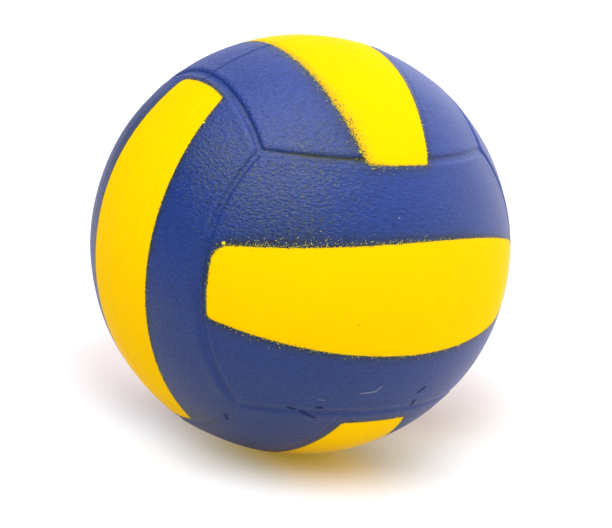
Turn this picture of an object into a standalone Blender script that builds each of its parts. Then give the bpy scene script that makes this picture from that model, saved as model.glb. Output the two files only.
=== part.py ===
"""Volleyball: eighteen cover panels on a rubber carcass, a thread winding, and a bladder with its valve.

Metres, +Z up, origin at the ball's centre. The front group of panels faces -Y and the valve points to +Y.
"""

import math

import bmesh
import bpy
from mathutils import Vector

# Ball and cover
BALL_DIAMETER = 0.210
COVER_THICKNESS = 0.0024
STRIP_WIDTH = 0.055  # width of each group's middle strip, along the surface
SEAM_GAP = 0.0004  # between the edges of neighbouring panels
GROUP_EDGE_ROUND = 0.0015  # panel edges where two groups meet
STRIP_EDGE_ROUND = 0.0007  # panel edges between strips of one group
REST_FLATTENING = 0.0005  # how far the ball flattens where it stands

# Layers under the cover, from the outside in
BOND_GAP = 0.0003
CARCASS_THICKNESS = 0.0010
WINDING_THICKNESS = 0.0008
BLADDER_THICKNESS = 0.0010

# Valve plug
PLUG_STEM_DIAMETER = 0.0044
PLUG_HEAD_LIP = 0.0010  # how far the head stands out round the stem
PLUG_HEAD_HEIGHT = 0.0018
PLUG_EDGE_BEVEL = 0.0004
NEEDLE_HOLE_DIAMETER = 0.0012
NEEDLE_HOLE_DEPTH = 0.0045
NEEDLE_FUNNEL_DIAMETER = 0.0024
NEEDLE_FUNNEL_DEPTH = 0.0014

# Valve housing
PLUG_FIT = 0.0003  # clearance all round the plug
NECK_WALL = 0.0012  # rubber round the plug's head
NECK_FIT = 0.0003  # clearance between the neck and the layers it passes through
FACE_RECESS = 0.0004  # valve face below the ball's surface
FLANGE_WIDTH = 0.011  # flange beyond the neck, bonded to the inside of the bladder
FLANGE_THICKNESS = 0.0012
BODY_WALL = 0.0016  # rubber round the plug's stem
BODY_LENGTH = 0.013  # from the flange to the inner end
END_WALL = 0.0016

# Facets
PANEL_STEPS_ALONG = 12
PANEL_STEPS_ACROSS = 4
SHELL_SUBDIVISIONS = 4
TURN_STEPS = 24
FLANGE_STEPS = 4
ROUND_SEGMENTS = 2
SMOOTH_ANGLE = math.radians(35)

# Each group of strips: the way it faces, the way its strips run, the way they are counted, and their names
X_AXIS = Vector((1, 0, 0))
Y_AXIS = Vector((0, 1, 0))
Z_AXIS = Vector((0, 0, 1))
GROUPS = {
    "front": (-Y_AXIS, X_AXIS, Z_AXIS, ("lower", "middle", "upper")),
    "back": (Y_AXIS, X_AXIS, Z_AXIS, ("lower", "middle", "upper")),
    "left": (-X_AXIS, Z_AXIS, Y_AXIS, ("front", "middle", "rear")),
    "right": (X_AXIS, Z_AXIS, Y_AXIS, ("front", "middle", "rear")),
    "top": (Z_AXIS, Y_AXIS, X_AXIS, ("left", "middle", "right")),
    "bottom": (-Z_AXIS, Y_AXIS, X_AXIS, ("left", "middle", "right")),
}
# Each layer under the cover, from the outside in: name, thickness and finish
LAYERS = (
    ("rubber_carcass", CARCASS_THICKNESS, "carcass_rubber"),
    ("thread_winding", WINDING_THICKNESS, "winding_thread"),
    ("bladder", BLADDER_THICKNESS, "bladder_rubber"),
)
VALVE_PANEL = "back_middle_panel"
STANDING_PANEL = "bottom_middle_panel"

# Each finish: sRGB colour and roughness
FINISHES = {
    "blue_cover": ((0.18, 0.24, 0.55), 0.55),
    "yellow_cover": ((0.98, 0.84, 0.02), 0.5),
    "carcass_rubber": ((0.12, 0.12, 0.13), 0.8),
    "winding_thread": ((0.88, 0.86, 0.80), 0.75),
    "bladder_rubber": ((0.06, 0.06, 0.06), 0.45),
    "valve_rubber": ((0.09, 0.09, 0.09), 0.6),
}

# Values that follow from the sizes
BALL_RADIUS = BALL_DIAMETER / 2
HALF_SEAM_ANGLE = SEAM_GAP / 2 / BALL_RADIUS
HALF_STRIP_ANGLE = STRIP_WIDTH / 2 / BALL_RADIUS
GROUP_ANGLE = math.acos(1 / math.sqrt(3))  # from a group's middle to the corner where three groups meet
PLUG_STEM_RADIUS = PLUG_STEM_DIAMETER / 2
PLUG_HEAD_RADIUS = PLUG_STEM_RADIUS + PLUG_HEAD_LIP
NECK_RADIUS = PLUG_HEAD_RADIUS + PLUG_FIT + NECK_WALL
BODY_RADIUS = PLUG_STEM_RADIUS + PLUG_FIT + BODY_WALL
FLANGE_RADIUS = NECK_RADIUS + FLANGE_WIDTH
VALVE_FACE = BALL_RADIUS - FACE_RECESS
VALVE_TURN = (math.radians(-90), 0, 0)  # turns a piece made along +Z to point along +Y


def clear_scene():
    for old in list(bpy.data.objects):
        bpy.data.objects.remove(old, do_unlink=True)


def new_collection(name):
    made = bpy.data.collections.new(name)
    bpy.context.scene.collection.children.link(made)
    return made


def linear(channel):
    """One sRGB channel as linear light."""
    return channel / 12.92 if channel <= 0.04045 else ((channel + 0.055) / 1.055) ** 2.4


def new_finish(name, colour, roughness):
    material = bpy.data.materials.new(name)
    material.use_nodes = True
    shader = material.node_tree.nodes["Principled BSDF"]
    shader.inputs["Base Color"].default_value = [linear(channel) for channel in colour] + [1]
    shader.inputs["Roughness"].default_value = roughness
    shader.inputs["Metallic"].default_value = 0
    return material


def new_object(name, mesh, collection, finish=None):
    made = bpy.data.objects.new(name, mesh)
    collection.objects.link(made)
    if finish:
        mesh.materials.append(finish)
    return made


def smooth(mesh):
    mesh.shade_smooth()
    mesh.set_sharp_from_angle(angle=SMOOTH_ANGLE)


def cut(piece, cutter):
    boolean = piece.modifiers.new("cut", "BOOLEAN")
    boolean.operation = "DIFFERENCE"
    boolean.object = cutter


def nearest_facet(faces):
    """Distance from the ball's centre to the plane of the nearest of these faces."""
    return min(abs(face.normal.dot(face.verts[0].co)) for face in faces)


def end_angle(across):
    """Angle along a strip at which it reaches the groove round its group, at this angle across the group."""
    return math.acos(math.cos(GROUP_ANGLE - HALF_SEAM_ANGLE) / math.cos(across))


def middle_strip_angles(along, across):
    """Angles of a point of a middle strip. Both parameters run from -1 to 1."""
    angle = across * (HALF_STRIP_ANGLE - HALF_SEAM_ANGLE)
    return angle, along * end_angle(angle)


def outer_strip_angles(along, across):
    """Angles of a point of an outer strip, from the middle strip's edge at -1 to the group's edge at 1.

    The far edge lies in the plane that also bounds the next group, so it bends towards the middle.
    """
    near = HALF_STRIP_ANGLE + HALF_SEAM_ANGLE
    group_plane = math.cos(GROUP_ANGLE - HALF_SEAM_ANGLE)
    edge_plane = math.cos(GROUP_ANGLE + HALF_SEAM_ANGLE)
    corner_across = math.atan2(edge_plane, group_plane)
    corner_along = math.acos(math.hypot(edge_plane, group_plane))
    far = math.asin(edge_plane / math.cos(along * corner_along))
    share = (across + 1) / 2
    angle = near + share * (far - near)
    return angle, along * end_angle(near + share * (corner_across - near))


def rim_rounding(edge, outer):
    """Share of the group rounding for one edge of the flat grid that a panel starts as, or None inside it."""
    ends = [vert.co for vert in edge.verts]
    if all(abs(abs(end.x) - 1) < 1e-4 for end in ends):
        return 1
    if all(abs(abs(end.y) - 1) < 1e-4 for end in ends):
        return 1 if outer and ends[0].y > 0 else STRIP_EDGE_ROUND / GROUP_EDGE_ROUND
    return None


def panel_mesh(name, facing, strip_way, count_way, side):
    """One cover panel, and the distance to its nearest inner facet. side is -1, 0 or 1 across its group.

    A flat grid is laid on the sphere, and its copy towards the centre gives the panel its thickness.
    """
    bm = bmesh.new()
    bmesh.ops.create_grid(bm, x_segments=PANEL_STEPS_ALONG, y_segments=PANEL_STEPS_ACROSS, size=1)
    weight = bm.edges.layers.float.new("bevel_weight_edge")
    rounding = {edge: rim_rounding(edge, side != 0) for edge in bm.edges}
    for vert in bm.verts:
        if side:
            across, along = outer_strip_angles(vert.co.x, vert.co.y)
            across *= side
        else:
            across, along = middle_strip_angles(vert.co.x, vert.co.y)
        level = math.cos(across) * facing + math.sin(across) * count_way
        vert.co = BALL_RADIUS * (math.cos(along) * level + math.sin(along) * strip_way)
    made = bmesh.ops.extrude_face_region(bm, geom=bm.faces[:], use_keep_orig=True)["geom"]
    inner_verts = [item for item in made if isinstance(item, bmesh.types.BMVert)]
    inner_faces = [item for item in made if isinstance(item, bmesh.types.BMFace)]
    inner_share = 1 - COVER_THICKNESS / BALL_RADIUS
    bmesh.ops.scale(bm, vec=[inner_share] * 3, verts=inner_verts)
    bmesh.ops.recalc_face_normals(bm, faces=bm.faces[:])
    for edge, share in rounding.items():
        if share:
            edge[weight] = share
    bm.normal_update()
    inner_distance = nearest_facet(inner_faces)
    mesh = bpy.data.meshes.new(name)
    bm.to_mesh(mesh)
    bm.free()
    smooth(mesh)
    return mesh, inner_distance


def cover_panels(collection, finishes):
    """The eighteen panels by name, and the distance from the centre to the cover's nearest inner facet."""
    panels = {}
    inner_distances = []
    for group, (facing, strip_way, count_way, strip_names) in GROUPS.items():
        for side, strip in zip((-1, 0, 1), strip_names):
            name = f"{group}_{strip}_panel"
            mesh, inner_distance = panel_mesh(name, facing, strip_way, count_way, side)
            panel = new_object(name, mesh, collection, finishes["blue_cover" if side else "yellow_cover"])
            rounded = panel.modifiers.new("rounded rim", "BEVEL")
            rounded.limit_method = "WEIGHT"
            rounded.width = GROUP_EDGE_ROUND
            rounded.segments = ROUND_SEGMENTS
            panels[name] = panel
            inner_distances.append(inner_distance)
    return panels, min(inner_distances)


def round_shell(name, outer_radius, thickness, collection, finish):
    """A hollow ball, and the distance from the centre to its nearest inner facet."""
    bm = bmesh.new()
    bmesh.ops.create_icosphere(bm, subdivisions=SHELL_SUBDIVISIONS, radius=outer_radius)
    bm.normal_update()
    inner_distance = nearest_facet(bm.faces) - thickness
    mesh = bpy.data.meshes.new(name)
    bm.to_mesh(mesh)
    bm.free()
    smooth(mesh)
    shell = new_object(name, mesh, collection, finish)
    wall = shell.modifiers.new("wall", "SOLIDIFY")
    wall.thickness = thickness
    wall.offset = -1
    return shell, inner_distance


def turned(name, profile, closed, collection, finish):
    """A piece turned about the valve's axis from (radius, distance from the ball's centre) points."""
    mesh = bpy.data.meshes.new(name)
    edges = [(i, i + 1) for i in range(len(profile) - 1)]
    if closed:
        edges.append((len(profile) - 1, 0))
    mesh.from_pydata([(radius, 0, height) for radius, height in profile], edges, [])
    piece = new_object(name, mesh, collection, finish)
    piece.rotation_euler = VALVE_TURN
    screw = piece.modifiers.new("turn", "SCREW")
    screw.steps = TURN_STEPS
    screw.render_steps = TURN_STEPS
    screw.use_merge_vertices = True
    screw.merge_threshold = 0.00001
    screw.use_smooth_shade = False
    return piece


def flange_arc(sphere_radius, from_radius, to_radius):
    """Profile points on a sphere about the ball's centre, between two distances off the valve's axis."""
    spread = [from_radius + (to_radius - from_radius) * i / FLANGE_STEPS for i in range(FLANGE_STEPS + 1)]
    return [(radius, math.sqrt(sphere_radius**2 - radius**2)) for radius in spread]


def valve_levels(flange_top):
    """Heights along the valve's axis: plug's shoulder, housing's inner end and plug's inner end."""
    shoulder = VALVE_FACE - PLUG_HEAD_HEIGHT
    inner_end = flange_top - FLANGE_THICKNESS - BODY_LENGTH
    plug_end = inner_end + END_WALL + PLUG_FIT
    return shoulder, inner_end, plug_end


def valve_housing(flange_top, collection, finish):
    """Rubber tube with a stepped bore, and a dished flange that lies against the inside of the bladder."""
    shoulder, inner_end, plug_end = valve_levels(flange_top)
    profile = [(NECK_RADIUS, VALVE_FACE)]
    profile += flange_arc(flange_top, NECK_RADIUS, FLANGE_RADIUS)
    profile += flange_arc(flange_top - FLANGE_THICKNESS, FLANGE_RADIUS, BODY_RADIUS)
    profile += [
        (BODY_RADIUS, inner_end),
        (NEEDLE_HOLE_DIAMETER / 2, inner_end),
        (NEEDLE_HOLE_DIAMETER / 2, plug_end - PLUG_FIT),
        (PLUG_STEM_RADIUS + PLUG_FIT, plug_end - PLUG_FIT),
        (PLUG_STEM_RADIUS + PLUG_FIT, shoulder - PLUG_FIT),
        (PLUG_HEAD_RADIUS + PLUG_FIT, shoulder - PLUG_FIT),
        (PLUG_HEAD_RADIUS + PLUG_FIT, VALVE_FACE),
    ]
    return turned("valve_housing", profile, True, collection, finish)


def valve_plug(flange_top, collection, finish):
    """Headed rubber plug. Its needle hole is a funnel and a blind guide, which the rubber closes below."""
    shoulder, _, plug_end = valve_levels(flange_top)
    profile = [
        (0, VALVE_FACE - NEEDLE_HOLE_DEPTH),
        (NEEDLE_HOLE_DIAMETER / 2, VALVE_FACE - NEEDLE_HOLE_DEPTH),
        (NEEDLE_HOLE_DIAMETER / 2, VALVE_FACE - NEEDLE_FUNNEL_DEPTH),
        (NEEDLE_FUNNEL_DIAMETER / 2, VALVE_FACE),
        (PLUG_HEAD_RADIUS - PLUG_EDGE_BEVEL, VALVE_FACE),
        (PLUG_HEAD_RADIUS, VALVE_FACE - PLUG_EDGE_BEVEL),
        (PLUG_HEAD_RADIUS, shoulder),
        (PLUG_STEM_RADIUS, shoulder),
        (PLUG_STEM_RADIUS, plug_end + PLUG_EDGE_BEVEL),
        (PLUG_STEM_RADIUS - PLUG_EDGE_BEVEL, plug_end),
        (0, plug_end),
    ]
    return turned("valve_plug", profile, False, collection, finish)


def valve_hole_cutter(collection, inner_radius):
    """Round hole for the valve's neck, through every layer from the bladder out."""
    bm = bmesh.new()
    length = 2 * (BALL_RADIUS - inner_radius) + 2 * COVER_THICKNESS
    radius = NECK_RADIUS + NECK_FIT
    bmesh.ops.create_cone(
        bm, cap_ends=True, segments=TURN_STEPS, radius1=radius, radius2=radius, depth=length
    )
    mesh = bpy.data.meshes.new("valve_hole_cutter")
    bm.to_mesh(mesh)
    bm.free()
    cutter = new_object("valve_hole_cutter", mesh, collection)
    cutter.rotation_euler = VALVE_TURN
    cutter.location = (0, BALL_RADIUS, 0)
    return cutter


def rest_cutter(collection):
    """Block whose top is the surface that the ball stands on."""
    bm = bmesh.new()
    bmesh.ops.create_cube(bm, size=STRIP_WIDTH)
    mesh = bpy.data.meshes.new("rest_cutter")
    bm.to_mesh(mesh)
    bm.free()
    cutter = new_object("rest_cutter", mesh, collection)
    cutter.location = (0, 0, REST_FLATTENING - BALL_RADIUS - STRIP_WIDTH / 2)
    return cutter


clear_scene()
ball = new_collection("Volleyball")
cutters = new_collection("Cutters")
finishes = {name: new_finish(name, *values) for name, values in FINISHES.items()}

panels, cover_inside = cover_panels(ball, finishes)
# The layers share one pattern of facets, so each layer and its gap are simply taken off the radius.
layers = []
layer_radius = cover_inside - BOND_GAP
for layer_name, thickness, finish_name in LAYERS:
    layer, layer_inside = round_shell(layer_name, layer_radius, thickness, ball, finishes[finish_name])
    layers.append(layer)
    layer_radius -= thickness + BOND_GAP
flange_top = layer_inside - BOND_GAP
valve_housing(flange_top, ball, finishes["valve_rubber"])
valve_plug(flange_top, ball, finishes["valve_rubber"])

valve_hole = valve_hole_cutter(cutters, layer_inside)
for layer in (panels[VALVE_PANEL], *layers):
    cut(layer, valve_hole)
cut(panels[STANDING_PANEL], rest_cutter(cutters))
for cutter in cutters.objects:
    cutter.hide_render = True
    cutter.display_type = "WIRE"
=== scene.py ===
"""Volleyball with a moulded cover: eighteen blue panels whose middle strips are sprayed yellow.

Metres, +Z up, origin at the ball's centre. The front group of panels faces -Y and the valve points to +Y.
"""

import bpy
import numpy as np
from mathutils import Matrix, Vector


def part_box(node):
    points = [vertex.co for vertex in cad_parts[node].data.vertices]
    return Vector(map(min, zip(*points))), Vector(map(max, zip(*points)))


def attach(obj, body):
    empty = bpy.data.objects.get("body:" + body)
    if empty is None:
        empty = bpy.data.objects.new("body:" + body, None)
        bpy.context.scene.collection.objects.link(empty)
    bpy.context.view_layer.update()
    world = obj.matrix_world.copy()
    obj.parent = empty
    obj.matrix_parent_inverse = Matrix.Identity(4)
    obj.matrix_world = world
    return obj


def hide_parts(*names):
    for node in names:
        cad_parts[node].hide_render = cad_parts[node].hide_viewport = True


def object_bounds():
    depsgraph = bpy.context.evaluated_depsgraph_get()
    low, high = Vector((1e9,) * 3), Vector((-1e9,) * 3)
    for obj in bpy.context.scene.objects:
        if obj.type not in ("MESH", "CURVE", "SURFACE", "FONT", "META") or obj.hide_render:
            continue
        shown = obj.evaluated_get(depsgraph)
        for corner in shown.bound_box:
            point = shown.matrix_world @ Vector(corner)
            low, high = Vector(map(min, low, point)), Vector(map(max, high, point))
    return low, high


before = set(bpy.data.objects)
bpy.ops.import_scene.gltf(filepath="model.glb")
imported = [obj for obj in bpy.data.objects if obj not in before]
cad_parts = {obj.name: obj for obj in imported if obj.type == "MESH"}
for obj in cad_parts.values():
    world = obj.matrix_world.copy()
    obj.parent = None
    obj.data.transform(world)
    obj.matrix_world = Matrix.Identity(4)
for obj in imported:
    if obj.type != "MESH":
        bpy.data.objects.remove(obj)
cad_low, cad_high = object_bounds()


# Bladder
# The air bag inside the ball: butyl rubber, moulded in two halves and cured, bonded to the valve's flange.
# It is dusted with talc so that it doesn't stick to the thread that is wound over it.
def linear(colour):
    """A hex sRGB colour as linear red, green, blue and alpha."""
    channels = np.array([int(colour[i : i + 2], 16) for i in (1, 3, 5)]) / 255
    light = np.where(channels <= 0.04045, channels / 12.92, ((channels + 0.055) / 1.055) ** 2.4)
    return (*light.tolist(), 1.0)


def add_node(tree, kind, settings=(), inputs=()):
    """Adds one shader node and gives its first output in use.

    settings are its options. inputs are values, hex colours or other nodes' outputs, by socket.
    """
    node = tree.nodes.new(f"ShaderNode{kind}")
    for option, value in dict(settings).items():
        setattr(node, option, value)
    for socket, value in dict(inputs).items():
        if isinstance(value, bpy.types.NodeSocket):
            tree.links.new(value, node.inputs[socket])
        else:
            node.inputs[socket].default_value = linear(value) if isinstance(value, str) else value
    return next((socket for socket in node.outputs if socket.enabled), None)


# Lets a Mix node mix colours: its sockets 6 and 7 are the two, and socket 0 is the share of the second
COLOURS = {"data_type": "RGBA"}


def new_material(name):
    """An empty material, its node tree and the coordinates of its object."""
    material = bpy.data.materials.new(name)
    material.use_nodes = True
    tree = material.node_tree
    tree.nodes.clear()
    return material, tree, add_node(tree, "TexCoord").node.outputs["Object"]


def finish_node(node, material):
    """Gives a node of the solid model its material."""
    piece = bpy.data.objects[node]
    piece.data.materials.clear()
    piece.data.materials.append(material)


def butyl_rubber():
    """Black butyl from a polished mould, with pale clouds of talc that also take its shine away."""
    talc_cloud = 0.018
    most_talc = 0.35
    material, tree, place = new_material("butyl_rubber")
    cloud = add_node(
        tree, "TexNoise", inputs={"Vector": place, "Scale": 1 / talc_cloud, "Detail": 6, "Roughness": 0.7}
    )
    talc = add_node(
        tree, "MapRange", inputs={"Value": cloud, "From Min": 0.48, "From Max": 0.8, "To Max": most_talc}
    )
    colour = add_node(tree, "Mix", COLOURS, {0: talc, 6: "#101011", 7: "#8C8983"})
    roughness = add_node(
        tree, "MapRange", inputs={"Value": talc, "From Max": most_talc, "To Min": 0.4, "To Max": 0.9}
    )
    shader = add_node(
        tree, "BsdfPrincipled", inputs={"Base Color": colour, "Roughness": roughness, "IOR": 1.5}
    )
    add_node(tree, "OutputMaterial", inputs={"Surface": shader})
    return material


finish_node("bladder", butyl_rubber())


# Thread winding
# Nylon thread wound in great circles round the bladder and set in latex, which keeps the ball round.
# The carcass hides it, so it stays a plain shell, and the thread shows as ribs that cross in three ways.
def latexed_nylon_thread():
    """Off-white nylon yarn under a film of latex: satin, with fine crossing ribs and a faint yellowing."""
    thread_spacing = 0.0008
    rib_height = thread_spacing / 4
    stain = 0.025
    windings = ((0.4, 0.9, 0.2), (1.7, 0.3, 1.1), (2.5, 1.4, 0.6))
    # A band texture of scale 1 repeats at this distance
    band = np.pi / 10
    material, tree, place = new_material("latexed_nylon_thread")
    ribs = 0.0
    for turn in windings:
        turned_place = add_node(tree, "Mapping", inputs={"Vector": place, "Rotation": turn})
        wave = add_node(
            tree, "TexWave",
            inputs={"Vector": turned_place, "Scale": band / thread_spacing, "Distortion": 0.6, "Detail": 1},
        ).node.outputs["Fac"]
        ribs = add_node(tree, "Math", {"operation": "MAXIMUM"}, {0: ribs, 1: wave})
    yellowing = add_node(tree, "TexNoise", inputs={"Vector": place, "Scale": 1 / stain, "Detail": 3})
    clean = add_node(tree, "Mix", COLOURS, {0: yellowing, 6: "#EAE5D6", 7: "#D2C6A4"})
    # Painted shade: the thread is darker between the ribs
    colour = add_node(tree, "Mix", COLOURS, {0: ribs, 6: "#A89E82", 7: clean})
    bump = add_node(tree, "Bump", inputs={"Height": ribs, "Distance": rib_height, "Strength": 0.8})
    shader = add_node(
        tree, "BsdfPrincipled", inputs={"Base Color": colour, "Normal": bump, "Roughness": 0.5, "IOR": 1.53}
    )
    add_node(tree, "OutputMaterial", inputs={"Surface": shader})
    return material


finish_node("thread_winding", latexed_nylon_thread())


# Rubber carcass
# The round rubber layer that the cover is bonded to, moulded over the winding from natural rubber compound.
# It is buffed all over so that the glue holds, which leaves it dull and scratched.
def buffed_natural_rubber():
    """Dark grey rubber compound, abraded with coarse grit: no shine, fine scratches and pale worn spots."""
    grit = 0.0007
    scratch_depth = grit / 6
    patch = 0.012
    material, tree, place = new_material("buffed_natural_rubber")
    scratches = add_node(
        tree, "TexNoise",
        inputs={"Vector": place, "Scale": 1 / grit, "Detail": 3, "Roughness": 0.7, "Distortion": 1.5},
    )
    patches = add_node(tree, "TexNoise", inputs={"Vector": place, "Scale": 1 / patch, "Detail": 4})
    colour = add_node(tree, "Mix", COLOURS, {0: patches, 6: "#18181A", 7: "#333335"})
    bump = add_node(tree, "Bump", inputs={"Height": scratches, "Distance": scratch_depth, "Strength": 0.7})
    shader = add_node(
        tree, "BsdfPrincipled", inputs={"Base Color": colour, "Normal": bump, "Roughness": 0.85, "IOR": 1.52}
    )
    add_node(tree, "OutputMaterial", inputs={"Surface": shader})
    return material


finish_node("rubber_carcass", buffed_natural_rubber())


# Cover panels
# Eighteen panels of soft plastic foam with a moulded skin, bonded to the carcass: six groups of three strips
# that cross like a basket. A mould of two halves presses a channel between groups and a faint seam between
# strips, and leaves a fine ridge where its halves part.
BALL_RADIUS = cad_high.x
REST_LEVEL = cad_low.z
COVER_THICKNESS = 0.0024
STRIP_WIDTH = 0.055
HAIRLINE = 0.00002
GROUP_ANGLE = np.arcsin(1 / np.sqrt(3))
HALF_STRIP = STRIP_WIDTH / 2 / BALL_RADIUS
PARTING_PLANE = -0.0030
# Each group: the way it faces, the way its strips run, the way they are counted, their names in that order
GROUPS = {
    "front": ((0, -1, 0), (1, 0, 0), (0, 0, 1), ("lower", "middle", "upper")),
    "back": ((0, 1, 0), (1, 0, 0), (0, 0, 1), ("lower", "middle", "upper")),
    "left": ((-1, 0, 0), (0, 0, 1), (0, 1, 0), ("front", "middle", "rear")),
    "right": ((1, 0, 0), (0, 0, 1), (0, 1, 0), ("front", "middle", "rear")),
    "top": ((0, 0, 1), (0, 1, 0), (1, 0, 0), ("left", "middle", "right")),
    "bottom": ((0, 0, -1), (0, 1, 0), (1, 0, 0), ("left", "middle", "right")),
}


def grid_lines(length, middle):
    """Places from -1 to 1 of grid lines over a length.

    They are close together at both ends, where the channels' walls are, and have an even step between.
    middle lists the lines wanted about the middle, by their distance from it.
    """
    grid_step = 0.0015
    edge_mm = (0, 0.4, 0.7, 0.95, 1.15, 1.35, 1.5, 1.65, 1.85, 2.05, 2.3, 2.6, 2.95, 3.3, 3.7, 4.5)
    edge = np.array(edge_mm) / 1000
    count = int(np.ceil((length / 2 - middle[-1] - edge[-1]) / grid_step))
    between = np.linspace(edge[-1], length / 2 - middle[-1], count + 1)[1:-1]
    from_edge = np.concatenate([edge, between, length / 2 - middle[::-1]]) / (length / 2)
    return np.concatenate([from_edge - 1, 1 - from_edge[-2::-1]])


def strip_angles(side, along, across):
    """Angles across and along a group for grid places from -1 to 1 on one strip, a middle strip for side 0.

    A strip ends where the cosine of the angle across times the cosine of the angle along falls to the sine
    that bounds every group. A middle strip is bounded by two great circles. An outer strip runs from one of
    them to the plane that bounds the next group, and its corner lies on both planes.
    """
    half_gap = HAIRLINE / 2 / BALL_RADIUS
    end_plane = np.sin(GROUP_ANGLE + half_gap)
    side_plane = np.sin(GROUP_ANGLE - half_gap)
    if side == 0:
        angle = across * (HALF_STRIP - half_gap)
        return angle, along * np.arccos(end_plane / np.cos(angle))
    near = HALF_STRIP + half_gap
    corner_across = np.arctan2(side_plane, end_plane)
    corner_along = np.arccos(np.hypot(side_plane, end_plane))
    share = (across + 1) / 2
    far = np.arcsin(side_plane / np.cos(along * corner_along))
    angle = near + share * (far - near)
    end = np.arccos(end_plane / np.cos(near + share * (corner_across - near)))
    return side * angle, along * end


def round_off(along, across, radius, reach):
    """Moves points about the origin so that the square of half width radius becomes a circle.

    A point keeps its larger coordinate as its distance from the middle, fully on the circle and less and
    less out to reach.
    """
    too_near = 1e-9
    square = np.maximum(np.abs(along), np.abs(across))
    distance = np.maximum(np.hypot(along, across), too_near)
    share = np.clip((reach - square) / (reach - radius), 0, 1)
    factor = 1 + share * (square / distance - 1)
    return along * factor, across * factor


def groove(distance, floor, reach):
    """Share of a groove's depth by distance from its middle: flat to floor, half a cosine wave to reach."""
    return (1 + np.cos(np.pi * np.clip((distance - floor) / (reach - floor), 0, 1))) / 2


def cover_radius(way, facing, across, filled):
    """Radius of the cover in each direction of a group, and how far down in a channel that is, from 0 to 1.

    The ball's radius, less a channel along the group's planes, as far as it isn't filled, and a seam along
    the great circles between its strips, plus a low bead along its rim, a fine ridge where the mould's
    halves met, and a slight unevenness. The channel's walls are gentler along the sides of the front and
    back groups, from which the mould is drawn off.
    """
    channel_depth = 0.00090
    channel_floor = 0.0006
    channel_reach = 0.0023
    floor_given_up = 0.0003
    reach_added = 0.0014
    side_floor = channel_floor - floor_given_up * abs(facing[1])
    side_reach = channel_reach + reach_added * abs(facing[1])
    seam_depth = 0.00020
    seam_reach = 0.0020
    ridge_height = 0.00022
    ridge_width = 0.0005
    sunk = 0.00010
    unevenness = 0.00012
    swell, cross_swell, phase = (9.0, 4.0, 7.0), (-5.0, 11.0, 3.0), 1.0
    bead_height = 0.00026
    bead_place = 0.0034
    bead_width = (0.0009, 0.0030)
    outward = way @ facing
    aside = np.abs(way @ across)
    to_side = BALL_RADIUS * (GROUP_ANGLE - np.arcsin(np.clip(aside, 0, 1)))
    to_end = BALL_RADIUS * (np.arcsin(np.clip(outward, 0, 1)) - GROUP_ANGLE)
    to_seam = BALL_RADIUS * np.abs(aside * np.cos(HALF_STRIP) - outward * np.sin(HALF_STRIP))
    beside = groove(to_side, side_floor, side_reach)
    at_end = groove(to_end, channel_floor, channel_reach)
    channel = (1 - (1 - beside) * (1 - at_end)) * (1 - filled)
    seam = groove(to_seam, 0.0, seam_reach)
    from_parting = way[..., 1] * BALL_RADIUS - PARTING_PLANE
    ridge = ridge_height * np.exp(-((from_parting / ridge_width) ** 2)) * (1 - channel)
    from_bead = np.minimum(to_side, to_end) - bead_place
    from_bead = from_bead / np.where(from_bead < 0, *bead_width)
    bead = bead_height * np.exp(-(from_bead**2)) * (1 - filled)
    uneven = unevenness * (np.sin(way @ swell) * np.sin(way @ cross_swell + phase) - 1)
    level = BALL_RADIUS - sunk + uneven
    return level + ridge + bead - np.maximum(channel_depth * channel, seam_depth * seam), channel


def rim_of(block):
    """Indices round the rim of a block of a grid, once round."""
    return np.concatenate([block[0, :-1], block[:-1, -1], block[-1, :0:-1], block[:0:-1, 0]])


def slab(name, outer, inner, hole=None):
    """A closed piece between two grids of points: both grids as faces, and a wall round their rims.

    hole gives the rows and columns of a block that is left out, with a wall of its own. The piece also gets
    a map for baking: the outer face takes nearly all of it, the walls and the inner face thin bands below.
    """
    rows, columns = outer.shape[:2]
    count = rows * columns
    index = np.arange(count).reshape(rows, columns)
    kept = np.ones((rows - 1, columns - 1), bool)
    rims = [rim_of(index)]
    if hole:
        kept[hole[0].start : hole[0].stop - 1, hole[1].start : hole[1].stop - 1] = False
        rims.append(rim_of(index[hole])[::-1])
    sheet = np.stack([index[:-1, :-1], index[:-1, 1:], index[1:, 1:], index[1:, :-1]], -1)[kept]
    rim = np.concatenate(rims)
    next_rim = np.concatenate([np.roll(ring, -1) for ring in rims])
    wall = np.stack([next_rim, rim, rim + count, next_rim + count], -1)
    faces = np.concatenate([sheet, sheet[:, ::-1] + count, wall])

    band_top, wall_high, wall_low, inner_high = 0.07, 0.06, 0.045, 0.035
    spread = np.stack(np.meshgrid(np.linspace(0, 1, columns), np.linspace(0, 1, rows)), -1).reshape(-1, 2)
    step = np.arange(len(rim)) / len(rim)
    corners = [step + 1 / len(rim), step, step, step + 1 / len(rim)]
    levels = np.tile((wall_high, wall_high, wall_low, wall_low), (len(rim), 1))
    wall_map = np.stack([np.stack(corners, -1), levels], -1)
    flat_map = np.concatenate([spread * (1, 1 - band_top) + (0, band_top), spread * (1, inner_high)])
    corner_map = np.concatenate([flat_map[faces[: 2 * len(sheet)]], wall_map])

    points = np.concatenate([outer.reshape(-1, 3), inner.reshape(-1, 3)])
    first = points[sheet[0]]
    if np.cross(first[1] - first[0], first[3] - first[0]) @ first[0] < 0:
        faces, corner_map = faces[:, ::-1], corner_map[:, ::-1]
    used, faces = np.unique(faces, return_inverse=True)
    mesh = bpy.data.meshes.new(name)
    mesh.from_pydata(points[used], [], faces.reshape(-1, 4))
    mesh.uv_layers.new(name="OFBake").uv.foreach_set("vector", corner_map.astype(np.float32).ravel())
    return mesh


def smooth_piece(mesh, material, body, node):
    """Makes a mesh an object that is smooth but for sharp corners, with its material, tied to its body, and
    hides the node it replaces.
    """
    sharpest_smooth = np.radians(50)
    mesh.shade_smooth()
    mesh.set_sharp_from_angle(angle=sharpest_smooth)
    mesh.materials.append(material)
    piece = bpy.data.objects.new(mesh.name, mesh)
    bpy.context.scene.collection.objects.link(piece)
    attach(piece, body)
    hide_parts(node)


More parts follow.
